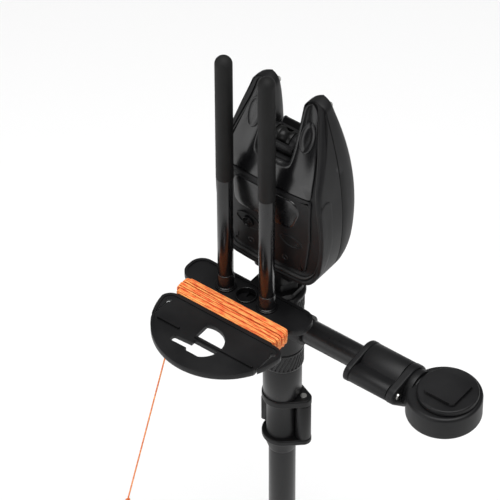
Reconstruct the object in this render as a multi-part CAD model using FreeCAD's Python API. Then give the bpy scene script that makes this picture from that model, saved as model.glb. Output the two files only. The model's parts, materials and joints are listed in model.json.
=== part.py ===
"""Bank-side tip-up set: a bite alarm, a cord winder with two posts and a telescopic crossarm,
all carried on one telescopic leg that ends in a ground spike.

Frame: millimetres, +Z up, the leg's axis is X = Y = 0 and Z = 0 is where the spike enters the
ground. The crossarm runs along +X, the alarm and the winder face -Y.
"""
import FreeCAD, Part
from FreeCAD import Matrix, Vector
import math
import os

# ---------------------------------------------------------------- driving dimensions
DECK_Z = 220.0            # level of the winder plate's underside
FIT = 0.05                # radial clearance of a running fit
GAP = 0.2                 # face clearance between pieces that move past each other

TUBE_R = 9.45             # leg, thick outer tube
TUBE_WALL = 1.1
ROD_R = 6.6               # leg, thin inner tube
ROD_WALL = 1.1
STUD_R = 4.75             # 3/8 inch stud used through the whole stack
SPIKE_R = 4.0

LOWER_RING = (DECK_Z - 51.6, DECK_Z - 40.2)      # lowest and highest Z of each stacked piece
BOSS = (DECK_Z - 40.15, DECK_Z - 14.7)
UPPER_RING = (DECK_Z - 14.65, DECK_Z - 3.1)
RING_R = 10.4
BOSS_R = 10.3

CROSS_Z = DECK_Z - 23.8   # crossarm axis
CROSS_R = 6.1
CROSS_WALL = 1.0
CROSS_END_X = 83.0
HUB_X = 93.4
HUB_R = 18.0
HUB_H = 13.0

PLATE_X, PLATE_Y = -6.0, -20.2                   # middle socket of the winder plate
PLATE_T = 3.0
POST_STEP = 12.0
POST_R = 3.75
SOCKET_R = 4.6
FERRULE_TOP = DECK_Z + 11.0
SLEEVE_R = 4.1
POST_TOP = DECK_Z + 143.0
SLEEVE_Z = DECK_Z + 71.0

CORD_R = 0.4
WRAP_T = 1.9              # depth of the wound cord over the neck

ALARM_Z = DECK_Z + 17.0   # underside of the alarm body
ALARM_SEAM_Y = 5.0        # plane where the two shells meet
SCOOP_SEAM = 72.6         # level above the deck of the seam across the front face
SHELL_T = 2.0
SKIN_T = 1.3              # depth of the panels let into the front
AXIS_Z = Vector(0, 0, 1)


# ---------------------------------------------------------------- helpers
def rod(radius, low, high, x=0.0, y=0.0):
    """Upright cylinder from one level to another."""
    return Part.makeCylinder(radius, high - low, Vector(x, y, low), AXIS_Z)


def round_rod(radius, low, high, edge, x=0.0, y=0.0):
    """Upright cylinder with both rims rounded to the radius edge."""
    body = rod(radius, low, high, x, y)
    rims = [line for line in body.Edges if line.Closed]
    return body.makeFillet(edge, rims)


def tube(outer, inner, low, high, x=0.0, y=0.0):
    """Upright tube; the bore is cut 1 mm long at each end so that the faces come out clean."""
    return rod(outer, low, high, x, y).cut(rod(inner, low - 1, high + 1, x, y))


def rod_x(radius, left, right, y=0.0, z=0.0):
    """Cylinder along X."""
    return Part.makeCylinder(radius, right - left, Vector(left, y, z), Vector(1, 0, 0))


def rod_y(radius, front, back, x=0.0, z=0.0):
    """Cylinder along Y."""
    return Part.makeCylinder(radius, back - front, Vector(x, front, z), Vector(0, 1, 0))


def block(x, y, z):
    """Box from its (low, high) span on each axis."""
    size = [high - low for low, high in (x, y, z)]
    return Part.makeBox(*size, Vector(x[0], y[0], z[0]))


def union(shapes):
    """Fuse any number of shapes and drop the seams left between coplanar faces."""
    whole = shapes[0]
    for shape in shapes[1:]:
        whole = whole.fuse(shape)
    return whole.removeSplitter()


def outline(corners, to_space):
    """Closed wire through (u, v, radius) corners; a radius of 0 leaves the corner sharp.

    Each rounded corner is one tangent arc that starts and ends at radius * tan(turn / 2)
    from the corner. to_space maps (u, v) to a point.
    """
    spans = []
    for i, (u, v, radius) in enumerate(corners):
        here = Vector(u, v, 0)
        before = Vector(*corners[i - 1][:2], 0) - here
        after = Vector(*corners[(i + 1) % len(corners)][:2], 0) - here
        before.normalize()
        after.normalize()
        if radius == 0:
            spans.append((here, None, here))
            continue
        half = before.getAngle(after) / 2
        reach = radius / math.tan(half)
        middle = before + after
        middle.normalize()
        crown = here + middle * (radius / math.sin(half) - radius)
        spans.append((here + before * reach, crown, here + after * reach))
    edges = []
    for i, (start, crown, end) in enumerate(spans):
        if crown is not None:
            edges.append(Part.Arc(*[to_space(p.x, p.y) for p in (start, crown, end)]).toShape())
        following = spans[(i + 1) % len(spans)][0]
        if (following - end).Length > 1e-6:
            edges.append(Part.LineSegment(to_space(end.x, end.y),
                                          to_space(following.x, following.y)).toShape())
    return Part.Wire(edges)


def slab(corners, low, high, x=0.0, y=0.0):
    """Plate of a rounded XY outline between two levels, shifted by (x, y)."""
    wire = outline(corners, lambda u, v: Vector(x + u, y + v, low))
    return Part.Face(wire).extrude(Vector(0, 0, high - low))


def front_prism(corners, front, back, z=0.0):
    """Solid of a rounded XZ outline between two Y values."""
    wire = outline(corners, lambda u, v: Vector(u, front, z + v))
    return Part.Face(wire).extrude(Vector(0, back - front, 0))


def side_prism(corners, half_width, z=0.0):
    """Solid of a rounded YZ outline, centred on X = 0."""
    wire = outline(corners, lambda u, v: Vector(-half_width, u, z + v))
    return Part.Face(wire).extrude(Vector(2 * half_width, 0, 0))


def mirrored(corners):
    """Complete a symmetric outline: the right half is given from the bottom to the top."""
    return corners + [(-u, v, radius) for u, v, radius in reversed(corners)]


def save(name, shape):
    os.makedirs("parts", exist_ok=True)
    shape.exportStep(f"parts/{name}.step")


# ---------------------------------------------------------------- leg
CLAMP_TOP = DECK_Z - 72.0
CLAMP_LENGTH = 38.0
PLUG_LOW = LOWER_RING[0] - 7.0


def make_leg():
    tube_low = CLAMP_TOP
    save("leg_outer_tube", tube(TUBE_R, TUBE_R - TUBE_WALL, tube_low, LOWER_RING[0]))
    inner = rod(TUBE_R - TUBE_WALL, PLUG_LOW, LOWER_RING[0])
    save("leg_top_plug", union([inner, rod(STUD_R, LOWER_RING[0] - 1, BOSS[0] + 6.5)]))
    low, high = LOWER_RING
    ring = round_rod(RING_R, low, high, 0.6)
    save("lower_lock_ring", ring.cut(rod(STUD_R + FIT, low - 1, high + 1)))
    save("leg_inner_tube", tube(ROD_R, ROD_R - ROD_WALL, 24.0, PLUG_LOW - 1.0))
    collar = round_rod(8.4, 18.0, 24.0, 0.8)
    spigot = rod(ROD_R - ROD_WALL, 23.0, 40.0)
    shank = rod(SPIKE_R, -12.0, 19.0)
    point = Part.makeCone(0.6, SPIKE_R, 26.0, Vector(0, 0, -38.0), AXIS_Z)
    save("ground_spike", union([collar, spigot, shank, point]))


# ---------------------------------------------------------------- cam-lever tube clamp
def clamp(bore, spigot_r, body_r, flange_r, pin_at, lobe_r, length, end_taper):
    """Cam-lever clamp about +Z: the thick tube is at the top, the hinge lobe points to +X.

    Returns body, pin and lever. The body spans 0 to length; its spigot stands 4 mm above it.
    """
    flange = 4.2
    pin_r = 1.6

    def lobed(low, high, edge=0.8):
        """Round flange and hinge lobe in one outline: two arcs and their common tangents."""
        cosine = (flange_r - lobe_r) / pin_at
        sine = math.sqrt(1 - cosine ** 2)
        near = [Vector(flange_r * cosine, sign * flange_r * sine, low) for sign in (1, -1)]
        far = [Vector(pin_at + lobe_r * cosine, sign * lobe_r * sine, low) for sign in (1, -1)]
        wire = Part.Wire([Part.Arc(near[1], Vector(-flange_r, 0, low), near[0]).toShape(),
                          Part.LineSegment(near[0], far[0]).toShape(),
                          Part.Arc(far[0], Vector(pin_at + lobe_r, 0, low), far[1]).toShape(),
                          Part.LineSegment(far[1], near[1]).toShape()])
        body = Part.Face(wire).extrude(Vector(0, 0, high - low))
        rims = [line for line in body.Edges if abs(line.BoundBox.ZLength) < 1e-6]
        return body.makeFillet(edge, rims)

    shell = [lobed(length - flange, length), lobed(end_taper, end_taper + flange - 1.0),
             rod(body_r, end_taper, length), rod(spigot_r, length - 1, length + 4)]
    if end_taper > 0:
        shell.append(Part.makeCone(body_r - 0.9, flange_r - 0.8, end_taper, Vector(0, 0, 0), AXIS_Z))
    low, high = end_taper + flange - 1.0, length - flange
    body = union(shell).cut(rod(bore, -1, length + 5)).cut(rod(pin_r + FIT, -1, length + 1, pin_at))
    barrel_r = lobe_r - 0.2
    body = body.cut(rod(barrel_r + GAP, low, high, pin_at))
    slit = block((bore - 1, body_r + 1), (-0.6, 0.6), (low + 2, high - 4))
    slit.rotate(Vector(0, 0, 0), AXIS_Z, -9.0)
    body = body.cut(slit)

    pin = rod(pin_r, end_taper + 0.4, length + 0.7, pin_at)

    barrel = rod(barrel_r, low + GAP, high - GAP, pin_at)
    band = tube(flange_r - 0.2, body_r + 0.3, low + GAP, high - GAP)
    upper_half = block((-flange_r - 1, pin_at), (0.6, flange_r + 1), (low, high))
    band = band.common(upper_half)
    link = block((body_r * 0.5, pin_at), (1.2, barrel_r - 0.05), (low + GAP, high - GAP))
    link = link.cut(rod(body_r + 0.3, low - 1, high + 1))
    tab_low, tab_high = low + GAP, low + 0.66 * (high - low)
    tab = slab([(-flange_r - 2.6, 0.6, 1.0), (-flange_r + 1.2, 0.6, 0), (-flange_r + 1.6, 4.6, 0),
                (-flange_r - 1.2, 4.2, 2.0)], tab_low, tab_high)
    tab = tab.cut(rod(body_r + 0.3, low - 1, high + 1))
    lever = union([barrel, band, link, tab])
    lever = lever.cut(rod(pin_r + FIT, low - 1, high + 1, pin_at))
    return body, pin, lever


LEG_CLAMP_TURN = 10.0     # degrees from +X to the hinge lobe
LEG_PIN_AT = 11.4         # hinge pin from the tube's axis
ARM_PIN_AT = 13.4
ARM_CLAMP_TILT = 17.0     # degrees that the arm clamp's lobe points above -Y
ARM_CLAMP_X = (47.6, 76.2)


def make_leg_clamp():
    pieces = clamp(ROD_R + FIT, TUBE_R - TUBE_WALL, 7.7, 10.0, LEG_PIN_AT, 4.0, CLAMP_LENGTH, 8.0)
    for name, piece in zip(("leg_clamp_body", "leg_clamp_pin", "leg_clamp_lever"), pieces):
        piece.rotate(Vector(0, 0, 0), AXIS_Z, LEG_CLAMP_TURN)
        piece.translate(Vector(0, 0, CLAMP_TOP - CLAMP_LENGTH))
        save(name, piece)


def make_arm_clamp():
    """The same clamp laid along the crossarm, with its thick end at the hub."""
    left, right = ARM_CLAMP_X
    pieces = clamp(CROSS_R + FIT, 7.4, 7.5, 10.6, ARM_PIN_AT, 4.6, right - left, 0.0)
    tilt = math.radians(ARM_CLAMP_TILT)
    lobe = Vector(0, -math.cos(tilt), math.sin(tilt))
    across = Vector(0, math.sin(tilt), math.cos(tilt))
    placing = Matrix(lobe.x, across.x, -1, left, lobe.y, across.y, 0, 0,
                     lobe.z, across.z, 0, CROSS_Z, 0, 0, 0, 1)
    for name, piece in zip(("arm_clamp_body", "arm_clamp_pin", "arm_clamp_lever"), pieces):
        flipped = piece.mirror(Vector(0, 0, 0), AXIS_Z)
        save(name, flipped.transformed(placing))


# ---------------------------------------------------------------- crossarm
def make_crossarm():
    low, high = BOSS
    boss = union([round_rod(BOSS_R, low, high, 0.6), rod_x(7.6, 0, 15.0, z=CROSS_Z)])
    boss = boss.cut(rod(STUD_R + FIT, low - 1, low + 7.0)).cut(rod(STUD_R + FIT, high - 9.0, high + 1))
    boss = boss.cut(rod_x(CROSS_R, 6.0, 20.0, z=CROSS_Z))
    save("crossarm_boss", boss)
    inner = rod_x(CROSS_R - CROSS_WALL, 5.0, CROSS_END_X + 1, z=CROSS_Z)
    save("crossarm_tube", rod_x(CROSS_R, 6.0, CROSS_END_X, z=CROSS_Z).cut(inner))

    low, high = CROSS_Z - HUB_H / 2, CROSS_Z + HUB_H / 2
    drum = union([round_rod(HUB_R, low, high, 1.6, HUB_X), rod_x(9.4, ARM_CLAMP_X[1], 79.5, z=CROSS_Z)])
    drum = drum.common(block((ARM_CLAMP_X[1], 200), (-30, 30), (CROSS_Z - 20, CROSS_Z + 20)))
    drum = drum.cut(rod_x(CROSS_R + 0.3, ARM_CLAMP_X[1] - 1, CROSS_END_X + 1.0, z=CROSS_Z))
    drum = drum.cut(rod_x(7.4, ARM_CLAMP_X[1] - 1, ARM_CLAMP_X[1] + 4.0, z=CROSS_Z))
    drum = drum.cut(rod(3.05, CROSS_Z, high + 1, HUB_X + 2))
    drum = drum.cut(rod(STUD_R, low - 1, CROSS_Z - 0.5, HUB_X + 2))
    save("hub_drum", drum)
    knob_low = high + GAP
    knob = union([round_rod(14.5, knob_low, knob_low + 3.0, 0.8, HUB_X + 2),
                  slab([(-8.5, -8.5, 2), (8.5, -8.5, 2), (8.5, 8.5, 2), (-8.5, 8.5, 2)],
                       knob_low + 2, knob_low + 5.0, HUB_X + 2)])
    save("hub_knob", knob.cut(rod(3.0, knob_low - 1, knob_low + 3.0, HUB_X + 2)))
    save("hub_bolt", rod(3.0, CROSS_Z + 0.5, knob_low + 3.0, HUB_X + 2))


def make_upper_ring():
    low, high = UPPER_RING
    collar = high - 2.5
    save("upper_lock_ring", union([rod(10.5, low, collar), round_rod(11.2, collar, high, 0.7)])
         .cut(rod(STUD_R + FIT, low - 1, high + 1)))


# ---------------------------------------------------------------- winder
SCREW_X, SCREW_Y = 4.6, 6.0   # bracket screws, from the middle socket


def make_bracket():
    """Flat link from the leg's axis to the winder: two rails with a sunk channel between."""
    low, high = DECK_Z - 3.0, DECK_Z
    link = [(-12.0, 9.2, 7.0), (-12.0, -11.0, 1.0), (-15.5, -13.0, 2.0), (-15.5, -26.6, 6.0),
            (6.0, -26.6, 6.0), (6.0, -8.5, 2.0), (9.2, -4.5, 3.0), (9.2, 9.2, 7.0)]
    arm = slab(link, low, high)
    channel = [(-7.6, -19.0, 1.5), (1.6, -19.0, 1.5), (1.6, -6.4, 1.5), (-7.6, -6.4, 1.5)]
    arm = arm.cut(slab(channel, low + 1.4, high + 1)).cut(rod(STUD_R + 0.1, low - 1, high + 1))
    screws = []
    for side in (-1, 1):
        x, y = PLATE_X + side * SCREW_X, PLATE_Y + SCREW_Y
        arm = arm.cut(rod(1.55, low - 1, high + 1, x, y))
        screws.append(union([rod(2.6, low - 1.6, low, x, y), rod(1.5, low - 0.5, high + 2.0, x, y)]))
    save("bracket_arm", arm)
    save("bracket_screws", Part.makeCompound(screws))


NECK_X = (-25.4, 28.5)    # left and right side of the neck
NECK = (-18.8, -7.0)      # front and back of the neck, from the middle socket
BAR_BACK = 8.8
BAR = (-34.4, 35.4)       # left and right end of the top bar
DISC_X = 3.0              # the disc's middle
DISC_R = 34.4
RIDGE_Y = -36.0
WINDOW_X = 1.5
WINDOW_R = 10.6


def plate_region(low, high, inset):
    """The H-shaped plate drawn in by inset: top bar, neck and D-shaped disc."""
    x, y = PLATE_X, PLATE_Y
    left, right = BAR[0] + inset, BAR[1] - inset
    bar = slab([(left, NECK[1] + inset, 6.5 - inset), (right, NECK[1] + inset, 6.5 - inset),
                (right, BAR_BACK - inset, 7.0 - inset), (left, BAR_BACK - inset, 7.0 - inset)],
               low, high, x, y)
    neck = block((x + NECK_X[0] + inset, x + NECK_X[1] - inset),
                 (y + NECK[0] - inset - 1, y + NECK[1] + inset + 1), (low, high))
    radius = DISC_R - inset
    disc = rod(radius, low, high, x + DISC_X, y - 20.3)
    half = slab([(-radius, -60, 0), (radius, -60, 0), (radius, NECK[0] - inset, 6.0 - inset),
                 (-radius, NECK[0] - inset, 6.0 - inset)], low, high, x + DISC_X, y)
    return union([bar, neck, disc.common(half)])


def make_plate():
    low, high = DECK_Z, DECK_Z + PLATE_T
    x, y = PLATE_X, PLATE_Y
    plate = plate_region(low, high, 0.0)
    tray = plate_region(high - 0.7, high + 1, 1.4)
    neck_keep = block((x - 60, x + 60), (y + NECK[0] - 1.4, y + NECK[1] + 1.4), (low, high + 2))
    plate = plate.cut(tray.cut(neck_keep))
    for left, right in ((-24.0, -11.4), (-2.2, 31.0)):
        ridge = block((x + left, x + right), (y + RIDGE_Y - 0.5, y + RIDGE_Y + 0.5), (high - 1, high + 0.5))
        plate = plate.fuse(ridge)
    for i in (-1, 0, 1):
        plate = plate.cut(rod(5.2, low - 1, high + 1, x + i * POST_STEP, y))
    window = rod(WINDOW_R, low - 1, high + 1, x + WINDOW_X, y - 35.6)
    upper = block((x - 2.8, x + 15.0), (y - 34.6, y - 20.0), (low - 1, high + 1)).common(window)
    half_disc = block((x - 1.5, x + 15.0), (y - 45.0, y - 37.4), (low - 1, high + 1)).common(window)
    slot = slab([(-11.2, -43.8, 1.2), (0.5, -43.5, 0), (0.5, -39.2, 0), (-11.2, -40.1, 1.2)],
                low - 1, high + 1, x, y)
    plate = plate.cut(upper).cut(half_disc).cut(slot)
    for side in (-1, 1):
        cut_x = x + DISC_X + side * 30.2
        plate = plate.cut(block((cut_x - 0.4, cut_x + 0.4), (y - 40.0, y - 23.5),
                                (low - 1, high + 1)))
        plate = plate.cut(rod(1.3, low - 1, high + 1, cut_x, y - 23.5))
        plate = plate.cut(rod(1.5, low - 1, low + 2.0, x + side * SCREW_X, y + SCREW_Y))
    save("winder_plate", plate.removeSplitter())
    bushes = [tube(5.2, SOCKET_R, low, high + 0.3, x + i * POST_STEP, y) for i in (-1, 0, 1)]
    save("spare_socket_bush", bushes.pop(1))
    save("post_socket_bushes", Part.makeCompound(bushes))


def make_posts():
    for name, side in (("left", -1), ("right", 1)):
        x, y = PLATE_X + side * POST_STEP, PLATE_Y
        foot = union([rod(SOCKET_R - FIT, DECK_Z + 0.05, DECK_Z + PLATE_T + 0.6, x, y),
                      rod(3.95, DECK_Z + 1.0, FERRULE_TOP, x, y)])
        foot = foot.cut(rod(POST_R - 0.6, DECK_Z - 1, DECK_Z + 20, x, y))
        save(f"{name}_post_ferrule", foot)
        save(f"{name}_post_rod", union([rod(POST_R - 0.6, DECK_Z + 0.3, POST_TOP - 3.0, x, y),
                                        rod(POST_R, FERRULE_TOP, SLEEVE_Z, x, y)]))
        sleeve = union([rod(SLEEVE_R, SLEEVE_Z, POST_TOP - SLEEVE_R, x, y),
                        Part.makeSphere(SLEEVE_R, Vector(x, y, POST_TOP - SLEEVE_R))])
        save(f"{name}_post_sleeve", sleeve.cut(rod(POST_R - 0.6, SLEEVE_Z - 1, POST_TOP - 3.0, x, y)))


# ---------------------------------------------------------------- cord
# the last turn leaves over the winding's left end and runs straight down to its ring
CORD_ROUTE = [Vector(-26.5, -30.5, DECK_Z + 5.33), Vector(-33.73, -30.5, DECK_Z + 5.33),
              Vector(-54.4, -54.5, DECK_Z - 142.0)]
RING_MAJOR = 3.2
RING_MINOR = 0.7


def cord_tube(route, radius):
    """Tube along straight runs joined by tangent arcs; prints each arc's radius."""
    edges = []
    start = route[0]
    for i in range(1, len(route) - 1):
        back, ahead = route[i - 1] - route[i], route[i + 1] - route[i]
        reach = 0.45 * min(back.Length, ahead.Length)
        half = back.getAngle(ahead) / 2
        arc_r = reach * math.tan(half)
        back.normalize()
        ahead.normalize()
        middle = back + ahead
        middle.normalize()
        crown = route[i] + middle * (arc_r / math.sin(half) - arc_r)
        print(f"cord arc {i}: radius {arc_r:.1f} mm")
        edges.append(Part.LineSegment(start, route[i] + back * reach).toShape())
        edges.append(Part.Arc(route[i] + back * reach, crown, route[i] + ahead * reach).toShape())
        start = route[i] + ahead * reach
    edges.append(Part.LineSegment(start, route[-1]).toShape())
    path = Part.Wire(edges)
    heading = route[1] - route[0]
    section = Part.Wire([Part.Circle(route[0], heading, radius).toShape()])
    solid = path.makePipeShell([section], True, False)
    ideal = math.pi * radius ** 2 * path.Length
    print(f"cord run: {path.Length:.1f} mm, volume {solid.Volume:.2f}, section x length {ideal:.2f}")
    return solid


def make_cord():
    x, y = PLATE_X, PLATE_Y
    front, back = y + NECK[0] + 0.2, y + NECK[1] - 0.2
    low, high = DECK_Z - WRAP_T, DECK_Z + PLATE_T + WRAP_T
    left, right = x + NECK_X[0] - WRAP_T, x + NECK_X[1] + WRAP_T
    bend = PLATE_T / 2 + WRAP_T - 0.1
    wire = outline([(left, low, bend), (right, low, bend), (right, high, bend), (left, high, bend)],
                   lambda u, v: Vector(u, front, v))
    wrap = Part.Face(wire).extrude(Vector(0, back - front, 0))
    core = block((x + NECK_X[0], x + NECK_X[1]), (front - 1, back + 1), (DECK_Z, DECK_Z + PLATE_T))
    save("cord_winding", wrap.cut(core))
    save("cord_run", cord_tube(CORD_ROUTE, CORD_R))
    heading = CORD_ROUTE[-1] - CORD_ROUTE[-2]
    heading.normalize()
    centre = CORD_ROUTE[-1] + heading * (RING_MAJOR + RING_MINOR)
    save("cord_ring", Part.makeTorus(RING_MAJOR, RING_MINOR, centre, Vector(1, 0.2, 0)))


# ---------------------------------------------------------------- alarm
# right half of the front outline (x, z above the deck, radius), from the bottom to the saddle
FRONT_HALF = [(23.8, 17.0, 3.5), (30.2, 45.0, 26.0), (28.8, 80.0, 60.0), (21.4, 116.0, 4.6),
              (10.4, 116.0, 4.4), (8.6, 84.0, 4.0)]
# side outline (y, z above the deck, radius), from the front foot round to the tip and back
SIDE = [(-10.5, 17.0, 2.0), (-14.0, 72.0, 8.0), (-2.6, 97.0, 40.0), (4.0, 116.0, 4.5),
        (11.6, 115.0, 5.0), (19.0, 64.0, 40.0), (18.0, 27.0, 12.0), (12.0, 17.0, 6.0)]
DOOR = [(-14.0, 38.0, 4.0), (14.0, 38.0, 4.0), (14.0, 76.0, 4.0), (-14.0, 76.0, 4.0)]
HATCH = [(-12.6, 71.0, 4.0), (-3.2, 71.0, 5.0), (-2.6, 44.0, 20.0), (-8.0, 24.0, 1.2),
         (-10.4, 24.0, 1.0)]
CASE_SCREWS = [(-20.0, 44.0), (20.0, 44.0), (-19.0, 88.0), (19.0, 88.0)]
WINDOW = [(-18.5, 51.0, 5.0), (18.5, 51.0, 5.0), (18.5, 68.6, 5.0), (-18.5, 68.6, 5.0)]
BUTTON_X, BUTTON_Z = -10.3, DECK_Z + 42.0
BEZEL = [(BUTTON_X - 8.5, 42.0, 1.5), (BUTTON_X, 36.5, 9.0), (BUTTON_X + 8.5, 42.0, 1.5),
         (BUTTON_X, 47.5, 9.0)]
JACK_X, JACK_Z = 13.9, DECK_Z + 41.0
ROLLER_Y, ROLLER_Z = 2.5, DECK_Z + 88.5


def drawn_in(corners, amount, centre):
    """Shrink an outline towards its centre line so that its walls come in by about amount."""
    cu, cv, half_u, half_v = centre
    ku, kv = 1 - amount / half_u, 1 - amount / half_v
    return [(cu + (u - cu) * ku, cv + (v - cv) * kv, radius * min(ku, kv)) for u, v, radius in corners]


def alarm_body(inset):
    """The alarm's solid form: its front outline and its side outline, intersected."""
    side = drawn_in(SIDE, inset, (2.0, 66.0, 16.0, 50.0))
    return front_field(inset).common(side_prism(side, 60, DECK_Z))


def front_field(inset):
    """Prism along Y of the front outline drawn in by inset."""
    corners = drawn_in(mirrored(FRONT_HALF), inset, (0.0, 66.0, 29.0, 50.0))
    return front_prism(corners, -40, 40, DECK_Z)


def skin_of(solid, shift):
    """The layer of a solid that it loses when a copy moved by shift is taken away."""
    moved = solid.copy()
    moved.translate(shift)
    return solid.cut(moved)


def levels(low, high):
    """Everything between two levels above the deck."""
    return block((-60, 60), (-60, 60), (DECK_Z + low, DECK_Z + high))


def both_sides(make):
    """The pieces that make(side) gives for the left (-1) and the right (1)."""
    return [make(side) for side in (-1, 1)]


def make_alarm():
    outer = alarm_body(0.0)
    shell = outer.cut(alarm_body(SHELL_T))
    shell = shell.cut(rod_x(6.6, -12.5, 12.5, ROLLER_Y, ROLLER_Z - 0.8))
    ahead = block((-60, 60), (-60, ALARM_SEAM_Y), (0, 500))

    skin = skin_of(outer, Vector(0, SKIN_T, 0)).common(block((-60, 60), (-60, 4.0), (0, 500)))
    skin = skin.common(levels(21, 112))
    gasket = skin.common(front_field(1.6)).cut(front_field(2.7))
    skin = skin.common(front_field(2.7))
    scoop = skin.common(levels(SCOOP_SEAM + 0.4, 112))
    face = skin.common(levels(21, SCOOP_SEAM))

    hatches = both_sides(lambda side: skin_of(outer, Vector(-side * 1.2, 0, 0))
                         .common(side_prism(HATCH, 60, DECK_Z))
                         .common(block(tuple(sorted((side * 10, side * 60))), (-60, 60), (0, 500))))
    door = skin_of(outer, Vector(0, -1.6, 0)).common(front_prism(DOOR, 5.5, 40, DECK_Z))
    door_gap = [(u * 1.012, v + 0.2 * (1 if v > 50 else -1), radius) for u, v, radius in DOOR]
    door_way = skin_of(outer, Vector(0, -1.7, 0)).common(front_prism(door_gap, 5.5, 40, DECK_Z))
    screw_ways = [rod_y(1.7, 7.0, 40, x, DECK_Z + z) for x, z in CASE_SCREWS]
    case_screws = [way.common(skin_of(outer, Vector(0, -1.2, 0))) for way in screw_ways]
    leds = both_sides(lambda side: union([
        rod_y(1.6, 8.0, 15.2, side * 14.6, DECK_Z + 107.0),
        Part.makeSphere(1.6, Vector(side * 14.6, 15.2, DECK_Z + 107.0))]))

    front = shell.common(ahead)
    for piece in [scoop, face, gasket] + hatches:
        front = front.cut(piece)
    rear = shell.cut(ahead).cut(door_way)
    for piece in case_screws + leds:
        rear = rear.cut(piece)

    ovals = both_sides(lambda side: rod_y(5.0, -40, 40, side * 15.7, DECK_Z + 98.5))
    pads = [oval.common(scoop) for oval in ovals]
    for oval in ovals:
        scoop = scoop.cut(oval)

    window_way = front_prism(WINDOW, -40, 0, DECK_Z)
    window = window_way.common(face)
    bezel_way = front_prism(BEZEL, -40, 0, DECK_Z)
    button_way = rod_y(3.2, -40, 0, BUTTON_X, BUTTON_Z)
    bezel = bezel_way.common(face).cut(button_way)
    jack_way = rod_y(3.0, -40, 0, JACK_X, JACK_Z)
    heads = both_sides(lambda side: rod_y(1.7, -40, 0, side * 9.7, DECK_Z + 29.6))
    screws = [head.common(face) for head in heads]
    for way in [window_way, bezel_way, jack_way] + heads:
        face = face.cut(way)
    front = front.cut(jack_way).cut(button_way)

    save("alarm_front_shell", front)
    save("alarm_rear_shell", rear)
    save("scoop_panel", scoop)
    save("front_gasket", gasket)
    save("ear_pads", Part.makeCompound(pads))
    save("face_panel", face)
    save("face_window", window)
    save("button_bezel", bezel)
    save("face_screws", Part.makeCompound(screws))
    save("side_hatches", Part.makeCompound(hatches))
    save("battery_door", door)
    save("case_screws", Part.makeCompound(case_screws))
    save("left_led", leds[0])
    save("right_led", leds[1])
    save("power_button", rod_y(3.0, -13.6, -9.0, BUTTON_X, BUTTON_Z))
    save("jack_socket", rod_y(2.95, -11.6, -4.0, JACK_X, JACK_Z)
         .cut(rod_y(1.75, -12.0, -5.0, JACK_X, JACK_Z)))
    save("jack_contacts", rod_y(1.7, -6.5, -5.1, JACK_X, JACK_Z)
         .cut(rod_y(1.1, -7.0, -5.6, JACK_X, JACK_Z)))
    make_roller()
    make_alarm_inside()
    make_alarm_mount()


def make_roller():
    y, z = ROLLER_Y, ROLLER_Z
    wheel = rod_x(4.4, -4.6, 4.6, y, z)
    groove = Part.makeTorus(6.6, 3.4, Vector(0, y, z), Vector(1, 0, 0))
    save("line_roller", wheel.cut(groove).cut(rod_x(1.3 + FIT, -6, 6, y, z)))
    save("roller_axle", rod_x(1.3, -7.9, 7.9, y, z))
    cradle = tube_x(6.5, 5.2, -8.0, 8.0, y, z - 0.8)
    cradle = cradle.common(block((-9, 9), (y - 8, y + 8), (z - 9, z + 1.2)))
    cheeks = [rod_x(5.3, side * 6.5 - 1.4, side * 6.5 + 1.4, y, z - 0.8)
              .cut(rod_x(1.3, -9, 9, y, z)) for side in (-1, 1)]
    save("roller_cradle", union([cradle] + cheeks).cut(rod_x(1.3, -9, 9, y, z)))


def tube_x(outer, inner, left, right, y, z):
    """Tube along X."""
    return rod_x(outer, left, right, y, z).cut(rod_x(inner, left - 1, right + 1, y, z))


def make_alarm_inside():
    base = DECK_Z
    save("circuit_board", block((-20, 20), (0.5, 2.1), (base + 24, base + 76)))
    save("speaker", rod_y(9.0, -6.5, -1.0, 0.0, base + 52))
    save("battery", block((-12, 12), (2.8, 10.4), (base + 41, base + 76)))


def make_alarm_mount():
    base = DECK_Z
    neck = union([slab([(-12, -8, 3), (12, -8, 3), (12, 8, 3), (-12, 8, 3)], base + 11, base + 17),
                  rod(8.2, base + 5.2, base + 11.5)])
    save("alarm_neck", neck.cut(rod(STUD_R, base + 1, base + 14)))
    save("alarm_stud", rod(STUD_R, BOSS[1] - 8.0, base + 14))
    hexagon = [(8.6 * math.cos(math.radians(60 * i)), 8.6 * math.sin(math.radians(60 * i)), 0.6)
               for i in range(6)]
    save("neck_nut", slab(hexagon, base + 0.1, base + 5.1).cut(rod(STUD_R, base - 1, base + 6)))


make_leg()
make_leg_clamp()
make_arm_clamp()
make_crossarm()
make_upper_ring()
make_bracket()
make_plate()
make_posts()
make_cord()
make_alarm()
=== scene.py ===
# %% [markdown]
# # A bite alarm, a cord winder and a side arm on one telescopic leg
# This notebook dresses a packed mechanical model. The frame tells where each part sits, so no
# part is moved or resized here. New surfaces replace the parts whose looks a plain solid can't
# give: the moulded alarm case, the knurled rings, the wound cord. The rest keep their solids
# and get a finish. Loading the frame comes first, because every place below is read from it.

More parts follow.
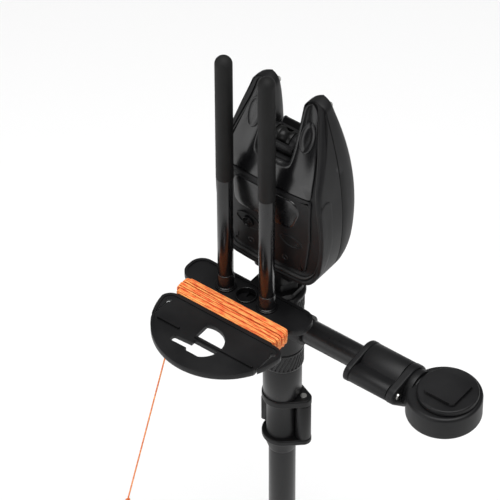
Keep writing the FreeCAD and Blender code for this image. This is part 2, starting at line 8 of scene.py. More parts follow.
# %% Load the frame
import json
import math
import bmesh
import bpy
import numpy as np
from mathutils import Matrix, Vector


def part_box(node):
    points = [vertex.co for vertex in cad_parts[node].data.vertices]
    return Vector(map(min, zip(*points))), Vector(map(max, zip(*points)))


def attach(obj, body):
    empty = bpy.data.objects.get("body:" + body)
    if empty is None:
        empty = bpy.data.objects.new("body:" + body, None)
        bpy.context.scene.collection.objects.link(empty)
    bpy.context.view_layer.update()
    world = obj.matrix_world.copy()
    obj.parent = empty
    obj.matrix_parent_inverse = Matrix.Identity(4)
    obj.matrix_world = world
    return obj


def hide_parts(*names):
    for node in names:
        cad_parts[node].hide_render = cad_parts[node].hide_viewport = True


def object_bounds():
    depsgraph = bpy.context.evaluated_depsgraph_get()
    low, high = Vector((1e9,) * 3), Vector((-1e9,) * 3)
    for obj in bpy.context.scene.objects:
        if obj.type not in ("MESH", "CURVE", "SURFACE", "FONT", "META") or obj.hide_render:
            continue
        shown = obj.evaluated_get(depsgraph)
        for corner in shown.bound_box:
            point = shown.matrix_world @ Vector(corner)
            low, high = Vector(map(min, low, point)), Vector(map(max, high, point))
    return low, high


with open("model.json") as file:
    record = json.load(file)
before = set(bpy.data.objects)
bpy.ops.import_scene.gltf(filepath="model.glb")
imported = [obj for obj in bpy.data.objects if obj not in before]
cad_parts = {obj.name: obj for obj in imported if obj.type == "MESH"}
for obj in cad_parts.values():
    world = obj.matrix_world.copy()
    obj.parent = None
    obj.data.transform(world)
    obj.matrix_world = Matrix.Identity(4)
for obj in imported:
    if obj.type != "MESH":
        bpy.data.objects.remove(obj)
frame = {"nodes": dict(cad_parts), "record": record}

MM = 0.001
cad_box = [list(corner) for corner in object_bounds()]
nodes = frame["nodes"]

# %% [markdown]
# ## Camera
# A long lens from far away keeps the two posts almost parallel. The camera could be placed by
# hand, but two angles, a distance and a point to look at are easier to read and to change. A
# small roll about the line of sight tilts the picture by a quarter of a degree.

# %% Camera
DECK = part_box("winder_plate")[0].z          # level of the winder plate's underside
LOOK_AT = np.array([-0.01816, -0.00132, DECK + 0.01051])
AZIMUTH, ELEVATION = math.radians(37.5), math.radians(43.6)
DISTANCE = 1.872
LENS = 288.0
ROLL = math.radians(0.28)


def make_camera():
    """Camera at DISTANCE from LOOK_AT, turned AZIMUTH about Z and lifted by ELEVATION."""
    back = np.array([math.sin(AZIMUTH) * math.cos(ELEVATION),
                     -math.cos(AZIMUTH) * math.cos(ELEVATION), math.sin(ELEVATION)])
    data = bpy.data.cameras.new("camera")
    data.lens = LENS
    data.sensor_width = 36.0
    data.clip_start, data.clip_end = 0.05, 60.0
    camera = bpy.data.objects.new("camera", data)
    camera.location = LOOK_AT + back * DISTANCE
    turn = Matrix.Rotation(AZIMUTH, 4, "Z") @ Matrix.Rotation(math.pi / 2 - ELEVATION, 4, "X")
    camera.rotation_euler = (turn @ Matrix.Rotation(-ROLL, 4, "Z")).to_euler()
    bpy.context.scene.collection.objects.link(camera)
    bpy.context.scene.camera = camera
    return camera


camera = make_camera()
print("camera at", [round(value, 4) for value in camera.location])

# %% [markdown]
# ## Mesh helpers
# Almost every new piece is a grid of points: rows along one parameter, columns along another.
# Numpy works out all the points at once, and one helper turns the grid into quads. A grid can be
# closed across its columns, as a tube is, and its first and last rows can end in a cap.

# %% Grid to mesh
def add_object(name, mesh):
    """Object at the origin that shows the mesh or curve."""
    piece = bpy.data.objects.new(name, mesh)
    bpy.context.scene.collection.objects.link(piece)
    return piece


def grid_mesh(name, grid, closed=True, capped=True, ring=False):
    """Piece from an (rows, columns, 3) grid in metres.

    Quads join each point to the next along the row and along the column. closed joins the last
    column to the first, ring the last row to the first, capped shuts the two end rows. Doubled
    points are merged, so a row that shrinks to a point becomes a pole.
    """
    rows, columns = grid.shape[:2]
    index = np.arange(rows * columns).reshape(rows, columns)
    if closed:
        index = np.concatenate([index, index[:, :1]], axis=1)
    if ring:
        index = np.concatenate([index, index[:1]], axis=0)
    quads = np.stack([index[:-1, :-1], index[:-1, 1:], index[1:, 1:], index[1:, :-1]], axis=-1)
    faces = quads.reshape(-1, 4).tolist()
    if capped and not ring:
        faces += [list(range(columns))[::-1], list(range((rows - 1) * columns, rows * columns))]
    mesh = bpy.data.meshes.new(name)
    mesh.from_pydata(grid.reshape(-1, 3).tolist(), [], faces)
    tidy_mesh(mesh)
    return add_object(name, mesh)


def tidy_mesh(mesh, smooth=True):
    """Merge doubled points, drop empty faces and turn all faces outwards."""
    work = bmesh.new()
    work.from_mesh(mesh)
    bmesh.ops.remove_doubles(work, verts=work.verts, dist=2e-6)
    bmesh.ops.dissolve_degenerate(work, dist=1e-7, edges=work.edges)
    bmesh.ops.recalc_face_normals(work, faces=work.faces)
    work.to_mesh(mesh)
    work.free()
    mesh.polygons.foreach_set("use_smooth", [smooth] * len(mesh.polygons))
    mesh.update()


def sharpen(piece, degrees=35.0):
    """Keep edges steeper than this crisp while the rest shades smooth."""
    piece.data.set_sharp_from_angle(angle=math.radians(degrees))
    return piece


print("helpers ready")

# %% [markdown]
# ## Floor and light
# The floor is a wide pale sheet under the spike's point. A large panel overhead lights it almost
# white, while the surround stays dim: black parts that face up then stay black, and upright ones
# pick up the floor. A pale panel in front on the left is what the glossy scoop reflects.

# %% Floor and lights
FLOOR_GAP = 0.0005                 # the sheet lies this far under the lowest point
FLOOR_Z = cad_box[0][2] - FLOOR_GAP


def make_floor():
    """Flat sheet, 6 m across, a hair under the lowest point."""
    span = np.linspace(-3.0, 3.0, 13)
    x, y = np.meshgrid(span, span, indexing="ij")
    grid = np.stack([x, y, np.full_like(x, FLOOR_Z)], axis=-1)
    floor = grid_mesh("floor", grid, closed=False, capped=False)
    floor.data.materials.append(plain("floor_pale", (0.93, 0.93, 0.93), 0.9))
    return floor


def plain(name, colour, roughness):
    """Even matt surface, for the floor only."""
    material = bpy.data.materials.new(name)
    material.use_nodes = True
    shader = material.node_tree.nodes["Principled BSDF"]
    shader.inputs["Base Color"].default_value = (*colour, 1.0)
    shader.inputs["Roughness"].default_value = roughness
    shader.inputs["Specular IOR Level"].default_value = 0.1
    return material


def panel_light(name, place, aim, width, height, power):
    """Area light at place that faces aim, both given in metres from the deck's centre."""
    data = bpy.data.lights.new(name, "AREA")
    data.shape = "RECTANGLE"
    data.size, data.size_y, data.energy = width, height, power
    light = bpy.data.objects.new(name, data)
    bpy.context.scene.collection.objects.link(light)
    start, end = np.array(place) + [0, 0, DECK], np.array(aim) + [0, 0, DECK]
    forward = (end - start) / np.linalg.norm(end - start)
    light.location = start
    light.rotation_euler = (math.acos(-forward[2]), 0.0, math.atan2(forward[1], forward[0]) - math.pi / 2)
    return light


def make_world(strength):
    """Even white surround."""
    world = bpy.data.worlds.new("studio")
    world.use_nodes = True
    background = world.node_tree.nodes["Background"]
    background.inputs["Color"].default_value = (1.0, 1.0, 1.0, 1.0)
    background.inputs["Strength"].default_value = strength
    bpy.context.scene.world = world


make_floor()
make_world(0.2)
panel_light("panel_top", (0.25, -0.1, 1.6), (0.02, 0, -0.2), 1.5, 1.5, 38.0)
panel_light("panel_front", (-0.6, -1.25, 0.2), (0, 0, 0.06), 1.5, 1.3, 11.0)
panel_light("panel_side", (1.3, -0.2, 0.35), (0, 0, 0.03), 0.2, 1.0, 0.8)
bpy.context.scene.view_settings.view_transform = "Standard"
print("floor at", round(FLOOR_Z, 4))

# %% [markdown]
# ## Finishes
# Black is never just black. Moulded plastic has a fine spark-eroded grain, a handled case has
# patches that are a little smoother, and an anodised tube carries faint marks along its length.
# Each finish is a Principled shader. Noise on Object coordinates drives its colour, roughness
# and bump, and whatever is even all over is set straight on the shader's own sockets.

# %% Finish helpers
slots = {}


def new_finish(name, **even):
    """Empty material with a Principled shader; even sets values that don't vary."""
    material = bpy.data.materials.new(name)
    material.use_nodes = True
    shader = material.node_tree.nodes["Principled BSDF"]
    for socket, value in even.items():
        shader.inputs[socket.replace("_", " ")].default_value = value
    slots[name] = material
    return material, material.node_tree, shader


def object_points(tree, stretch=(1.0, 1.0, 1.0)):
    """Object coordinates, stretched along an axis for marks that run one way."""
    source = tree.nodes.new("ShaderNodeTexCoord")
    mapping = tree.nodes.new("ShaderNodeMapping")
    mapping.inputs["Scale"].default_value = stretch
    tree.links.new(source.outputs["Object"], mapping.inputs["Vector"])
    return mapping.outputs["Vector"]


def noise(tree, points, scale, detail=3.0, roughness=0.55):
    """Noise value from 0 to 1 at the points; a larger scale gives a finer grain."""
    texture = tree.nodes.new("ShaderNodeTexNoise")
    texture.inputs["Scale"].default_value = scale
    texture.inputs["Detail"].default_value = detail
    texture.inputs["Roughness"].default_value = roughness
    tree.links.new(points, texture.inputs["Vector"])
    return texture.outputs["Fac"]


def vary_colour(tree, shader, value, dark, light, low=0.35, high=0.65):
    """Colour ramp from dark to light, driven by value."""
    ramp = tree.nodes.new("ShaderNodeValToRGB")
    ramp.color_ramp.elements[0].position = low
    ramp.color_ramp.elements[1].position = high
    ramp.color_ramp.elements[0].color = (*dark, 1.0)
    ramp.color_ramp.elements[1].color = (*light, 1.0)
    tree.links.new(value, ramp.inputs["Fac"])
    tree.links.new(ramp.outputs["Color"], shader.inputs["Base Color"])


def vary_roughness(tree, shader, value, low, high):
    """Roughness between low and high as value goes from 0.3 to 0.7."""
    span = tree.nodes.new("ShaderNodeMapRange")
    for socket, number in (("From Min", 0.3), ("From Max", 0.7), ("To Min", low), ("To Max", high)):
        span.inputs[socket].default_value = number
    tree.links.new(value, span.inputs["Value"])
    tree.links.new(span.outputs["Result"], shader.inputs["Roughness"])


def add_bump(tree, shader, value, strength, depth):
    """Bump of the given depth in metres."""
    bump = tree.nodes.new("ShaderNodeBump")
    bump.inputs["Strength"].default_value = strength
    bump.inputs["Distance"].default_value = depth
    tree.links.new(value, bump.inputs["Height"])
    tree.links.new(bump.outputs["Normal"], shader.inputs["Normal"])


def moulded(name, dark, light, rough, grain, depth, **even):
    """Moulded plastic: grain gives bump and fleck, slow patches change the gloss."""
    material, tree, shader = new_finish(name, **even)
    points = object_points(tree)
    fine = noise(tree, points, grain, 2.0)
    slow = noise(tree, points, 45.0, 4.0)
    vary_colour(tree, shader, slow, dark, light)
    vary_roughness(tree, shader, slow, *rough)
    add_bump(tree, shader, fine, 0.35, depth)
    return material


def drawn(name, dark, light, rough, stretch, **even):
    """Metal with faint marks along one axis."""
    material, tree, shader = new_finish(name, **even)
    marks = noise(tree, object_points(tree, stretch), 900.0, 3.0)
    slow = noise(tree, object_points(tree), 60.0, 3.0)
    vary_colour(tree, shader, slow, dark, light)
    vary_roughness(tree, shader, marks, *rough)
    add_bump(tree, shader, marks, 0.12, 0.00002)
    return material


# %% Black plastics and rubber
moulded("moulded_black", (0.005, 0.005, 0.0055), (0.009, 0.009, 0.0095), (0.38, 0.5), 2600.0, 0.00003,
        Specular_IOR_Level=0.22)
moulded("soft_shell", (0.006, 0.006, 0.0065), (0.01, 0.01, 0.0105), (0.42, 0.55), 3200.0, 0.00003,
        Specular_IOR_Level=0.2)
moulded("gloss_black", (0.004, 0.004, 0.0045), (0.006, 0.006, 0.0065), (0.2, 0.3), 900.0, 0.000004)
moulded("sleeve_rubber", (0.008, 0.008, 0.008), (0.013, 0.013, 0.013), (0.55, 0.68), 2400.0, 0.00005,
        Specular_IOR_Level=0.14)
moulded("gasket_rubber", (0.005, 0.005, 0.005), (0.008, 0.008, 0.008), (0.5, 0.65), 2000.0, 0.00003)
moulded("roller_plastic", (0.005, 0.005, 0.005), (0.009, 0.009, 0.009), (0.3, 0.4), 1200.0, 0.000006,
        Specular_IOR_Level=0.2)
print("plastics", len(slots))

# %% Metals, lens, board and battery
drawn("black_anodised", (0.007, 0.007, 0.0075), (0.011, 0.011, 0.0115), (0.27, 0.36), (1, 1, 0.04),
      Metallic=0.0, Specular_IOR_Level=0.28)
drawn("dark_steel", (0.03, 0.03, 0.032), (0.05, 0.05, 0.052), (0.3, 0.42), (1, 1, 0.2), Metallic=0.8)
drawn("bright_steel", (0.55, 0.54, 0.52), (0.72, 0.71, 0.68), (0.16, 0.26), (1, 1, 0.3), Metallic=1.0)
drawn("gold_contact", (0.62, 0.4, 0.12), (0.85, 0.6, 0.25), (0.2, 0.3), (1, 1, 1), Metallic=1.0)
moulded("clear_lens", (0.5, 0.5, 0.48), (0.62, 0.62, 0.6), (0.06, 0.1), 700.0, 0.000004,
        Transmission_Weight=0.7, IOR=1.49)
moulded("board_green", (0.015, 0.075, 0.03), (0.02, 0.11, 0.045), (0.3, 0.45), 1500.0, 0.00001)
moulded("cell_wrap", (0.06, 0.06, 0.07), (0.09, 0.09, 0.1), (0.22, 0.3), 800.0, 0.000005, Metallic=0.4)
print("all finishes but the cord", len(slots))

# %% [markdown]
# ## The cord
# One limp braided line, 0.8 mm thick, is wound on the winder's neck in two full layers and a few
# loose turns, then runs straight down, pulled tight by a ring. A real winding is one line, so it
# is one spline here: a loop lays the turns, and the run's points are the design's own route. The
# spline is a quadratic NURBS, which rounds each corner by itself.

# %% Cord finish
def orange_braid():
    """Braid: fine noise gives the bump, and patches drawn out along x give fuzz in the colour."""
    material, tree, shader = new_finish("orange_cord", Sheen_Weight=0.25, Sheen_Roughness=0.4)
    shader.inputs["Sheen Tint"].default_value = (1.0, 0.75, 0.5, 1.0)
    points = object_points(tree)
    fibre = noise(tree, points, 5200.0, 2.0)
    patch = noise(tree, object_points(tree, (0.12, 1.0, 1.0)), 1500.0, 2.0)
    vary_colour(tree, shader, patch, (0.78, 0.1, 0.018), (1.0, 0.42, 0.11), 0.38, 0.6)
    shader.inputs["Roughness"].default_value = 0.62
    add_bump(tree, shader, fibre, 0.5, 0.00008)
    return material


orange_braid()

# %% Lay the turns
CORD_D = 0.8 * MM
neck_low, neck_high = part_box("cord_winding")
WRAP = DECK - neck_low.z                    # depth of the wound cord over the neck
NECK_MID = (neck_low.x + neck_high.x) / 2
NECK_HALF = (neck_high.x - neck_low.x) / 2 - WRAP
PLATE_T = neck_high.z - WRAP - DECK
TURN_PITCH = 0.82 * MM
LAYERS = ((0.45 * MM, 14), (1.14 * MM, 13), (1.9 * MM, 7))    # height over the neck, turns
LOOSE_STARTS = np.array([-29.8, -36.2, -33.6, -30.9, -35.0, -34.2, -31.9]) * MM
EDGE_GAP = 0.45 * MM                        # first and last turn, in from the neck's edges
SWELL = 0.3 * MM                            # how much each layer rises in its middle
SLACK, LEAN_TIGHT, LEAN_LOOSE = 0.4 * MM, 0.14 * MM, 2.0 * MM
TURN_POINTS, OVER_POINTS = 16, 9            # spline points in a turn, and over its top
ROUTE = [(-26.5, -30.5, 5.33), (-33.73, -30.5, 5.33), (-34.3, -31.27, 0.6), (-54.4, -54.5, -142.0)]


def one_turn(height, start_y, end_y, slack, lean):
    """Sixteen spline points of a turn round the neck, left end first, over the top.

    The turn is a flat loop: height is its distance from the neck, slack how far each end stands
    off, lean the shift in y of its right end. It moves from start_y to end_y under the neck.
    """
    wide, top, low = NECK_HALF + height, PLATE_T + height, -height
    corner = NECK_HALF - 1.6 * MM
    middle = PLATE_T / 2
    x = np.array([-wide - slack, -wide - slack, -corner, -0.5 * corner, 0, 0.5 * corner, corner,
                  wide + slack, wide + slack, wide + slack, corner, 0.5 * corner, 0, -0.5 * corner,
                  -corner, -wide - slack])
    z = np.array([middle, top, top, top, top, top, top, top, middle, low, low, low, low, low, low, low])
    order = np.arange(TURN_POINTS)
    over = np.clip((x + wide) / (2 * wide), 0, 1)
    under = np.clip((order - 8) / 8, 0, 1)
    y = np.where(order < OVER_POINTS, start_y + lean * over,
                 (start_y + lean) + (end_y - start_y - lean) * under)
    return np.stack([x + NECK_MID, y, z + DECK], axis=1)


def lay_winding():
    """Points of all turns: one layer forward, one back, then a few loose ones over them."""
    draw = np.random.default_rng(7)
    back_y = neck_high.y - EDGE_GAP
    front_y = neck_low.y + EDGE_GAP
    middle_y = (back_y + front_y) / 2
    rows = []
    for layer, (height, turns) in enumerate(LAYERS):
        if layer == 0:
            starts = np.linspace(back_y, front_y, turns)
        elif layer == 1:
            starts = np.linspace(front_y + TURN_PITCH / 2, back_y - TURN_PITCH / 2, turns)
        else:
            starts = LOOSE_STARTS
        ends = np.append(starts[1:], starts[-1])
        loose = layer == len(LAYERS) - 1
        for start, end in zip(starts, ends):
            slack = draw.uniform(0.0, 1.0) * SLACK
            lean = draw.uniform(-1.0, 1.0) * (LEAN_LOOSE if loose else LEAN_TIGHT)
            swell = SWELL * layer * (1 - ((start - middle_y) / (back_y - middle_y)) ** 2)
            rows.append(one_turn(height + swell, start, end, slack, lean))
    return np.concatenate(rows)


def cord_curve(name, points, diameter):
    """Open quadratic NURBS curve through the control points, as a round tube."""
    curve = bpy.data.curves.new(name, "CURVE")
    curve.dimensions = "3D"
    curve.bevel_depth = diameter / 2
    curve.bevel_resolution = 2
    curve.resolution_u = 4
    curve.use_fill_caps = True
    spline = curve.splines.new("NURBS")
    spline.points.add(len(points) - 1)
    spline.points.foreach_set("co", np.column_stack([points, np.ones(len(points))]).ravel())
    spline.order_u = 3
    spline.use_endpoint_u = True
    return add_object(name, curve)


def line_length(piece):
    """Length of a curve's own line, read from the spline with its bevel taken off."""
    bare = bpy.data.objects.new("bare", piece.data.copy())
    bare.data.bevel_depth = 0.0
    mesh = bpy.data.meshes.new_from_object(bare)
    points = np.empty(len(mesh.vertices) * 3)
    mesh.vertices.foreach_get("co", points)
    bpy.data.meshes.remove(mesh)
    bpy.data.curves.remove(bare.data)
    points = points.reshape(-1, 3)
    return float(np.linalg.norm(np.diff(points, axis=0), axis=1).sum())


run = np.array(ROUTE) * MM + [0, 0, DECK]
turns = lay_winding()
cord = cord_curve("cord_line", np.concatenate([turns, run]), CORD_D)
cord.data.materials.append(slots["orange_cord"])
print("cord length", round(line_length(cord), 3), "m in", sum(n for _, n in LAYERS), "turns")

# %% [markdown]
# ## The ring at the cord's end
# The line is tied to a small steel ring, which something outside holds. A torus is a circle
# carried round a circle, and the knot is four tight turns of the same line about itself.

# %% Ring and knot
RING_MAJOR, RING_MINOR = 3.2 * MM, 0.7 * MM
heading = (run[-1] - run[-2]) / np.linalg.norm(run[-1] - run[-2])
ring_centre = run[-1] + heading * (RING_MAJOR + RING_MINOR)
ring_axis = np.array([1.0, 0.2, 0.0]) / math.hypot(1.0, 0.2)


def across(axis, other):
    """Two unit directions square to axis, the first as near to other as it can be."""
    first = other - axis * (other @ axis)
    first = first / np.linalg.norm(first)
    return first, np.cross(axis, first)


def torus(name, centre, axis, major, minor, around=48, section=16):
    """centre + (major + minor cos b)(u cos a + v sin a) + minor sin b axis."""
    u, v = across(axis, np.array([0.0, 0.0, 1.0]))
    a = np.linspace(0, 2 * np.pi, around, endpoint=False)[:, None, None]
    b = np.linspace(0, 2 * np.pi, section, endpoint=False)[None, :, None]
    outward = u * np.cos(a) + v * np.sin(a)
    grid = centre + (major + minor * np.cos(b)) * outward + minor * np.sin(b) * axis
    return grid_mesh(name, grid, ring=True)


def coil_tube(name, start, axis, length, coils, radius, thick):
    """Tube along a helix about a straight line: the knot's turns."""
    u, v = across(axis, np.array([0.0, 1.0, 0.0]))
    t = np.linspace(0, 1, 24 * coils)[:, None]
    turn = 2 * np.pi * coils * t
    line = start + axis * length * t + radius * (u * np.cos(turn) + v * np.sin(turn))
    tangent = np.gradient(line, axis=0)
    tangent /= np.linalg.norm(tangent, axis=1, keepdims=True)
    outward = u * np.cos(turn) + v * np.sin(turn)
    side = np.cross(tangent, outward)
    b = np.linspace(0, 2 * np.pi, 8, endpoint=False)[None, :, None]
    grid = line[:, None] + thick * (outward[:, None] * np.cos(b) + side[:, None] * np.sin(b))
    return grid_mesh(name, grid)


ring = torus("cord_end_ring", ring_centre, ring_axis, RING_MAJOR, RING_MINOR)
ring.data.materials.append(slots["dark_steel"])
knot = coil_tube("cord_knot", run[-1] - heading * 3.4 * MM, heading, 3.2 * MM, 4, 0.8 * MM, CORD_D / 2)
knot.data.materials.append(slots["orange_cord"])
for piece, part, slot in ((cord, ("cord_winding", "cord_run"), "orange_cord"), (knot, (), "orange_cord"),
                          (ring, ("cord_ring",), "dark_steel")):
    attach(piece, "winder")
    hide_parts(*part)
print("ring centre", np.round(ring_centre, 4).tolist())
# %% [markdown]
# ## The alarm's case: one ribbon bent into a U
# Seen from the front the case is a U: two ears on a broad body. Two matching curves describe
# it, the outer edge O(t) and the inner edge I(t). Both run from the left ear's tip, down the
# side, through the middle and up to the right ear's tip. Any point between them is
# O + s (I - O). A depth F(x, z) then gives the front face, and a dome the back. A piece of the
# case is a list of stations across the ribbon, which is why edges and grooves stay parallel to
# the outline everywhere.

# %% The two edge curves
OUTER = [(0, 17), (12, 17), (24.0, 17), (28.8, 29), (30.6, 46), (30.2, 63), (28.2, 81), (24.4, 98),
         (21.2, 109), (19.8, 115.0), (14.4, 115.8)]
INNER = [(0, 84), (4, 84), (7.4, 84), (8.7, 85.5), (8.9, 88), (8.9, 91), (8.8, 95), (8.8, 101),
         (8.9, 107), (9.2, 115.0), (14.4, 115.8)]
SEAM_Y = 5.0                       # where the front and rear shells meet
REAR_START = 5.3                   # the rear shell's outside starts here, behind the seam's notch
DOME = 3.6                         # squareness of the back's cross-section


def smooth_line(polygon, count):
    """Points on a clamped quadratic B-spline, evenly spaced in its parameter."""
    p = np.array(polygon, float)
    mids = np.concatenate([p[:1], (p[1:-2] + p[2:-1]) / 2, p[-1:]])
    t = np.linspace(0, len(p) - 2, count)
    piece = np.minimum(t.astype(int), len(p) - 3)
    t = (t - piece)[:, None]
    return (1 - t) ** 2 * mids[piece] + 2 * t * (1 - t) * p[piece + 1] + t ** 2 * mids[piece + 1]


def both_halves(polygon, count):
    """Left tip to right tip: the half curve mirrored and joined at the middle."""
    half = smooth_line(polygon, count)
    return np.concatenate([half[:0:-1] * [-1, 1], half])


def through(table, z):
    """Smooth profile y(z) through a B-spline polygon of (y, z) rows."""
    line = smooth_line(table, 200)
    return np.interp(z, line[:, 1], line[:, 0])


def ease(value):
    """Smooth step from 0 to 1."""
    value = np.clip(value, 0, 1)
    return value * value * (3 - 2 * value)


FRONT = [(-10.6, 15), (-12.0, 40), (-14.6, 73), (-8.4, 86), (-3.2, 97), (1.4, 108), (4.4, 117)]
BACK = [(13.0, 15), (18.4, 24), (19.0, 46), (19.0, 68), (16.6, 90), (13.6, 106), (10.8, 117)]


def face_depth(x, z):
    """Front face y: the side profile, rounded back at the sides, with a lip at the foot."""
    lip = 2.2 * ease((25.0 - z) / 5.5)
    return through(FRONT, z) + 0.0024 * x ** 2 - lip


outer_line, inner_line = both_halves(OUTER, 72), both_halves(INNER, 72)
print("ribbon rows", len(outer_line), "ear tip", outer_line[-1])

# %% [markdown]
# ## Stations across the ribbon
# A station is (s, inset, y or depth, rule). Its place across the ribbon is s plus an inset in
# millimetres, shrunk near the ear tips where the ribbon runs out. The rule says whether the last
# number is measured from the front face, from the dome, or is a plain y.

# %% Ribbon pieces
def ribbon_points(stations, outer=None, inner=None):
    """(rows, stations, 3) grid in millimetres above the deck."""
    outer = outer_line if outer is None else outer
    inner = inner_line if inner is None else inner
    span = inner - outer
    width = np.linalg.norm(span, axis=1)
    shrink = np.minimum(1.0, width / 14.0)
    columns = []
    for share, inset, depth, rule in stations:
        s = share + inset * shrink / np.maximum(width, 1e-6)
        point = outer + span * s[:, None]
        x, z = point[:, 0], point[:, 1]
        front = face_depth(x, z)
        if rule == "face":
            y = np.minimum(front + depth * shrink, SEAM_Y)
        elif rule == "wall":
            y = front + (SEAM_Y - front) * depth
        elif rule == "dome":
            bulge = (1 - np.abs(2 * np.clip(s, 0, 1) - 1) ** DOME) ** (1 / DOME)
            y = SEAM_Y + (through(BACK, z) - SEAM_Y - depth * shrink) * bulge
        else:
            y = np.full_like(x, depth)
        columns.append(np.stack([x, y, z], axis=1))
    return np.stack(columns, axis=1)


TROUGH = (2.5, 87.7, 6.7)          # y, z and radius of the roller's trough in the saddle
TROUGH_HALF, TROUGH_LOW, TROUGH_HIGH = 8.4, 79, 88    # half length in x, and the band in z
HUMP = 8.0                         # rise of the wall between the ears, behind the roller


def sink_trough(grid, extra=0.0):
    """Lower the saddle to a cylinder along X, and raise the wall behind it.

    Near the middle z = c - sqrt(r^2 - (y - b)^2). The hump is a product of three smooth steps:
    in y, in x and in z. extra widens the trough for the inner side of a shell.
    """
    y0, z0, radius = TROUGH
    x, y, z = np.moveaxis(grid, 2, 0)
    radius = radius + extra
    reach = np.clip(radius ** 2 - (y - y0) ** 2, 0, None)
    floor = np.where(reach > 0, z0 - np.sqrt(reach), 200.0)
    near = (np.abs(x) < TROUGH_HALF) & (z > TROUGH_LOW) & (z < TROUGH_HIGH)
    hump = HUMP * ease((y - 9.0) / 3.0) * ease((9.4 - np.abs(x)) / 1.5) * ease((z - 74) / 8)
    return np.stack([x, y, np.where(near, np.minimum(z, floor), z) + hump], axis=2)


def place(grid):
    """Millimetres above the deck to metres in the frame."""
    return grid * MM + [0, 0, DECK]


def finish(piece, slot, body, *replaced):
    """Give the piece its material and its body, and hide the nodes that it replaces."""
    piece.data.materials.clear()
    piece.data.materials.append(slots[slot])
    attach(piece, body)
    if replaced:
        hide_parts(*replaced)
    return piece


def spread(start, end, count):
    """Stations evenly between two stations of one rule, both ends kept."""
    return [tuple(start[k] + (end[k] - start[k]) * i / (count - 1) for k in range(3)) + (start[3],)
            for i in range(count)]


# %% Front shell
def corner_round(radius, count):
    """Quarter circle from the outer wall to the face, as stations."""
    return [(0, radius * (1 - math.cos(a)), radius * (1 - math.sin(a)), "face")
            for a in np.linspace(0, np.pi / 2, count)]


def front_shell():
    """Side wall, rounded rim, gasket groove, bed for the panels, inner wall, then back inside."""
    skin = [(0, 0.45, 4.95, "plain"), (0, 0.0, 4.6, "plain")]
    skin += spread((0, 0.0, 0.97, "wall"), (0, 0.0, 0.2, "wall"), 6)
    skin += corner_round(2.2, 6)
    skin += [(0, 3.0, 0, "face"), (0, 3.2, 0.25, "face"), (0, 3.3, 1.6, "face"), (0, 5.0, 1.6, "face"),
             (0, 5.1, 1.3, "face")]
    skin += spread((0, 5.6, 1.3, "face"), (1, -1.6, 1.3, "face"), 18)
    skin += [(1, -1.3, 3.3, "face"), (1, -0.1, 3.4, "face")]
    skin += spread((1, 0, 0.3, "wall"), (1, 0, 0.97, "wall"), 14)
    skin += [(1, 0, 4.6, "plain"), (1, -0.45, 4.95, "plain")]
    outside = sink_trough(ribbon_points(skin))
    back = [(1, -2.0, 4.95, "plain")]
    back += spread((1, -2.0, 0.9, "wall"), (1, -2.0, 0.35, "wall"), 10)
    back += spread((1, -5.0, 3.2, "face"), (0, 6.0, 3.2, "face"), 12)
    back += spread((0, 2.0, 0.35, "wall"), (0, 2.0, 0.9, "wall"), 4)
    back += [(0, 2.0, 4.95, "plain")]
    inside = sink_trough(ribbon_points(back), 1.5)
    return grid_mesh("case_front", place(np.concatenate([outside, inside], axis=1)), capped=False)


def rear_shell():
    """Dome behind the seam and its inner side, 2 mm in."""
    shares = (1 - np.cos(np.linspace(0, np.pi, 40))) / 2
    skin = [(0, 0.45, 5.05, "plain"), (0, 0, REAR_START, "plain")]
    skin += [(s, 0, 0, "dome") for s in shares[1:-1]]
    skin += [(1, 0, REAR_START, "plain"), (1, -0.45, 5.05, "plain")]
    outside = ribbon_points(skin)
    outside[:, 1:-1, 1] = np.maximum(outside[:, 1:-1, 1], REAR_START)
    back = [(1, -2.0, 5.05, "plain")]
    back += [(s, 0, 2.0, "dome") for s in np.linspace(0.93, 0.07, 18)]
    back += [(0, 2.0, 5.05, "plain")]
    inside = ribbon_points(back)
    outside, inside = sink_trough(outside), sink_trough(inside, 1.5)
    return grid_mesh("case_rear", place(np.concatenate([outside, inside], axis=1)), capped=False)


front = sharpen(front_shell(), 50)
rear = sharpen(rear_shell(), 50)
finish(front, "soft_shell", "alarm", "alarm_front_shell")
finish(rear, "soft_shell", "alarm", "alarm_rear_shell")
print("case", len(front.data.polygons), len(rear.data.polygons), "faces")

# %% [markdown]
# ## Scoop, gasket and face panel
# The glossy scoop is a second ribbon that lies in the front shell's bed. Its outer curve follows
# the groove down to the panel's edge and then runs straight across. The gasket is a thin cord of
# rubber in the groove.

# %% Scoop and gasket
SPLIT_Z = 72.6
SCOOP_OUTER = [(0, SPLIT_Z), (10, SPLIT_Z), (21.8, SPLIT_Z), (24.2, SPLIT_Z + 0.4), (23.9, 80), (22.9, 86),
               (21.6, 92), (19.9, 99), (18.2, 106), (16.8, 112.6), (13.8, 114.6)]
SCOOP_INNER = INNER[:8] + [(9.0, 107), (9.4, 113.4), (13.8, 114.6)]


def scoop():
    """Ribbon in the bed, hollowed 0.9 mm along its middle, that wraps over the inner edge.

    Its inner side rounds back to 3.2 mm deep, so the ears and the saddle have a soft front edge.
    """
    outer, inner = both_halves(SCOOP_OUTER, 72), both_halves(SCOOP_INNER, 72)
    top = [(0, 0, 1.25, "face"), (0, 0, 0.35, "face"), (0, 0.3, 0.1, "face")]
    top += [(s, 0, 0.1 + 0.9 * math.sin(math.pi * s) ** 1.3, "face") for s in np.linspace(0.04, 0.66, 16)]
    turn = np.linspace(0, np.pi / 2, 8)
    top += [(1, -2.6 + 2.6 * math.sin(a), 0.4 + 2.4 * (1 - math.cos(a)), "face") for a in turn]
    top += [(1, 0, 3.2, "face"), (1, -1.2, 3.2, "face"), (1, -1.5, 1.25, "face"), (0.6, 0, 1.25, "face")]
    return grid_mesh("scoop", place(sink_trough(ribbon_points(top, outer, inner))), capped=False)


